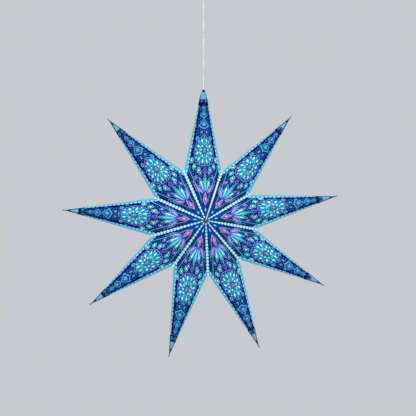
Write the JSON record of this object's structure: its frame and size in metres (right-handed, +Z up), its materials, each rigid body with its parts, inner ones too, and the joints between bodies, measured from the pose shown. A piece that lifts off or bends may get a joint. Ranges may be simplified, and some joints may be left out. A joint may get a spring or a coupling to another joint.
{
  "type": "paper star lantern",
  "caption": "Folded and punched paper star pendant lamp on a white twin flex, with a screw-in lamp inside and a sliding ceiling cup.",
  "frame": {"origin": "middle of the ceiling bracket's top face, on the flex's axis", "axes": "+Z up along the flex, -Y out of the star's front, +X to the right seen from the front"},
  "size_m": [0.6, 0.1786, 0.8802],
  "materials": {
    "printed_card": "matte print, punched",
    "tissue_liner": "translucent tissue",
    "paper_strip": "matte",
    "cotton_string": "twisted cotton",
    "white_flex": "satin",
    "core_insulation": "satin",
    "stop_plastic": "moulded",
    "zinc_steel": "zinc plated",
    "opal_dome": "opal, satin",
    "lamp_plastic": "moulded",
    "nickel_cap": "nickel plated",
    "black_insulator": "gloss",
    "solder": "solder",
    "led_board": "white solder mask",
    "led_phosphor": "phosphor gel",
    "brass": "pressed",
    "holder_plastic": "moulded",
    "holder_core": "moulded",
    "soft_white": "matte",
    "bracket_steel": "zinc plated",
    "clear_plastic": "natural nylon",
    "cup_plastic": "satin moulded",
    "thumb_screw": "moulded"
  },
  "bodies": {
    "pendant": {"cord": "white_flex", "cord_stop": "stop_plastic", "stop_screw": "zinc_steel", "holder_thread": "brass", "holder_insert": "holder_core", "holder_contact": "brass", "holder_skirt": "holder_plastic", "holder_cap": "holder_plastic", "holder_boot": "soft_white", "holder_terminals": "brass", "holder_terminal_screws": "zinc_steel", "holder_leads": "core_insulation", "ceiling_bracket": "bracket_steel", "cord_clamp": "clear_plastic", "clamp_screws": "zinc_steel", "terminal_block": "clear_plastic", "terminal_screws": "zinc_steel", "ceiling_leads": "core_insulation"},
    "canopy": {"canopy_cup": "cup_plastic", "canopy_grip": "soft_white", "canopy_screw": "thumb_screw"},
    "star": {"arm_card_1": "printed_card", "arm_card_2": "printed_card", "arm_card_3": "printed_card", "arm_card_4": "printed_card", "arm_card_5": "printed_card", "arm_card_6": "printed_card", "arm_card_7": "printed_card", "arm_card_8": "printed_card", "arm_card_9": "printed_card", "arm_liner_1": "tissue_liner", "arm_liner_2": "tissue_liner", "arm_liner_3": "tissue_liner", "arm_liner_4": "tissue_liner", "arm_liner_5": "tissue_liner", "arm_liner_6": "tissue_liner", "arm_liner_7": "tissue_liner", "arm_liner_8": "tissue_liner", "arm_liner_9": "tissue_liner", "valley_strip_1": "paper_strip", "valley_strip_2": "paper_strip", "valley_strip_3": "paper_strip", "valley_strip_4": "paper_strip", "valley_strip_5": "paper_strip", "valley_strip_6": "paper_strip", "valley_strip_7": "paper_strip", "valley_strip_8": "paper_strip", "tie_patches": "paper_strip", "seam_ties": "cotton_string"},
    "bulb_carrier": {"bulb_tip": "solder"},
    "bulb": {"bulb_dome": "opal_dome", "bulb_body": "lamp_plastic", "bulb_cap": "nickel_cap", "bulb_insulator": "black_insulator", "led_board": "led_board", "led_chips": "led_phosphor"}
  },
  "joints": [
    {"name": "star_turn", "type": "hinge", "parent": "pendant", "child": "star", "pos_m": [0, 0, -0.5856], "axis": [0, 0, 1], "continuous": true},
    {"name": "canopy_slide", "type": "slide", "parent": "pendant", "child": "canopy", "axis": [0, 0, -1], "range_m": [0, 0.15]},
    {"name": "bulb_travel", "type": "slide", "parent": "pendant", "child": "bulb_carrier", "axis": [0, 0, -1], "range_m": [0, 0.01128]},
    {"name": "bulb_turn", "type": "hinge", "parent": "bulb_carrier", "child": "bulb", "pos_m": [0, 0, -0.5456], "axis": [0, 0, -1], "range_deg": [0, 1440]}
  ],
  "couplings": [
    {"joint": "bulb_travel", "follows": "bulb_turn", "m_per_rad": 0.00044882}
  ]
}
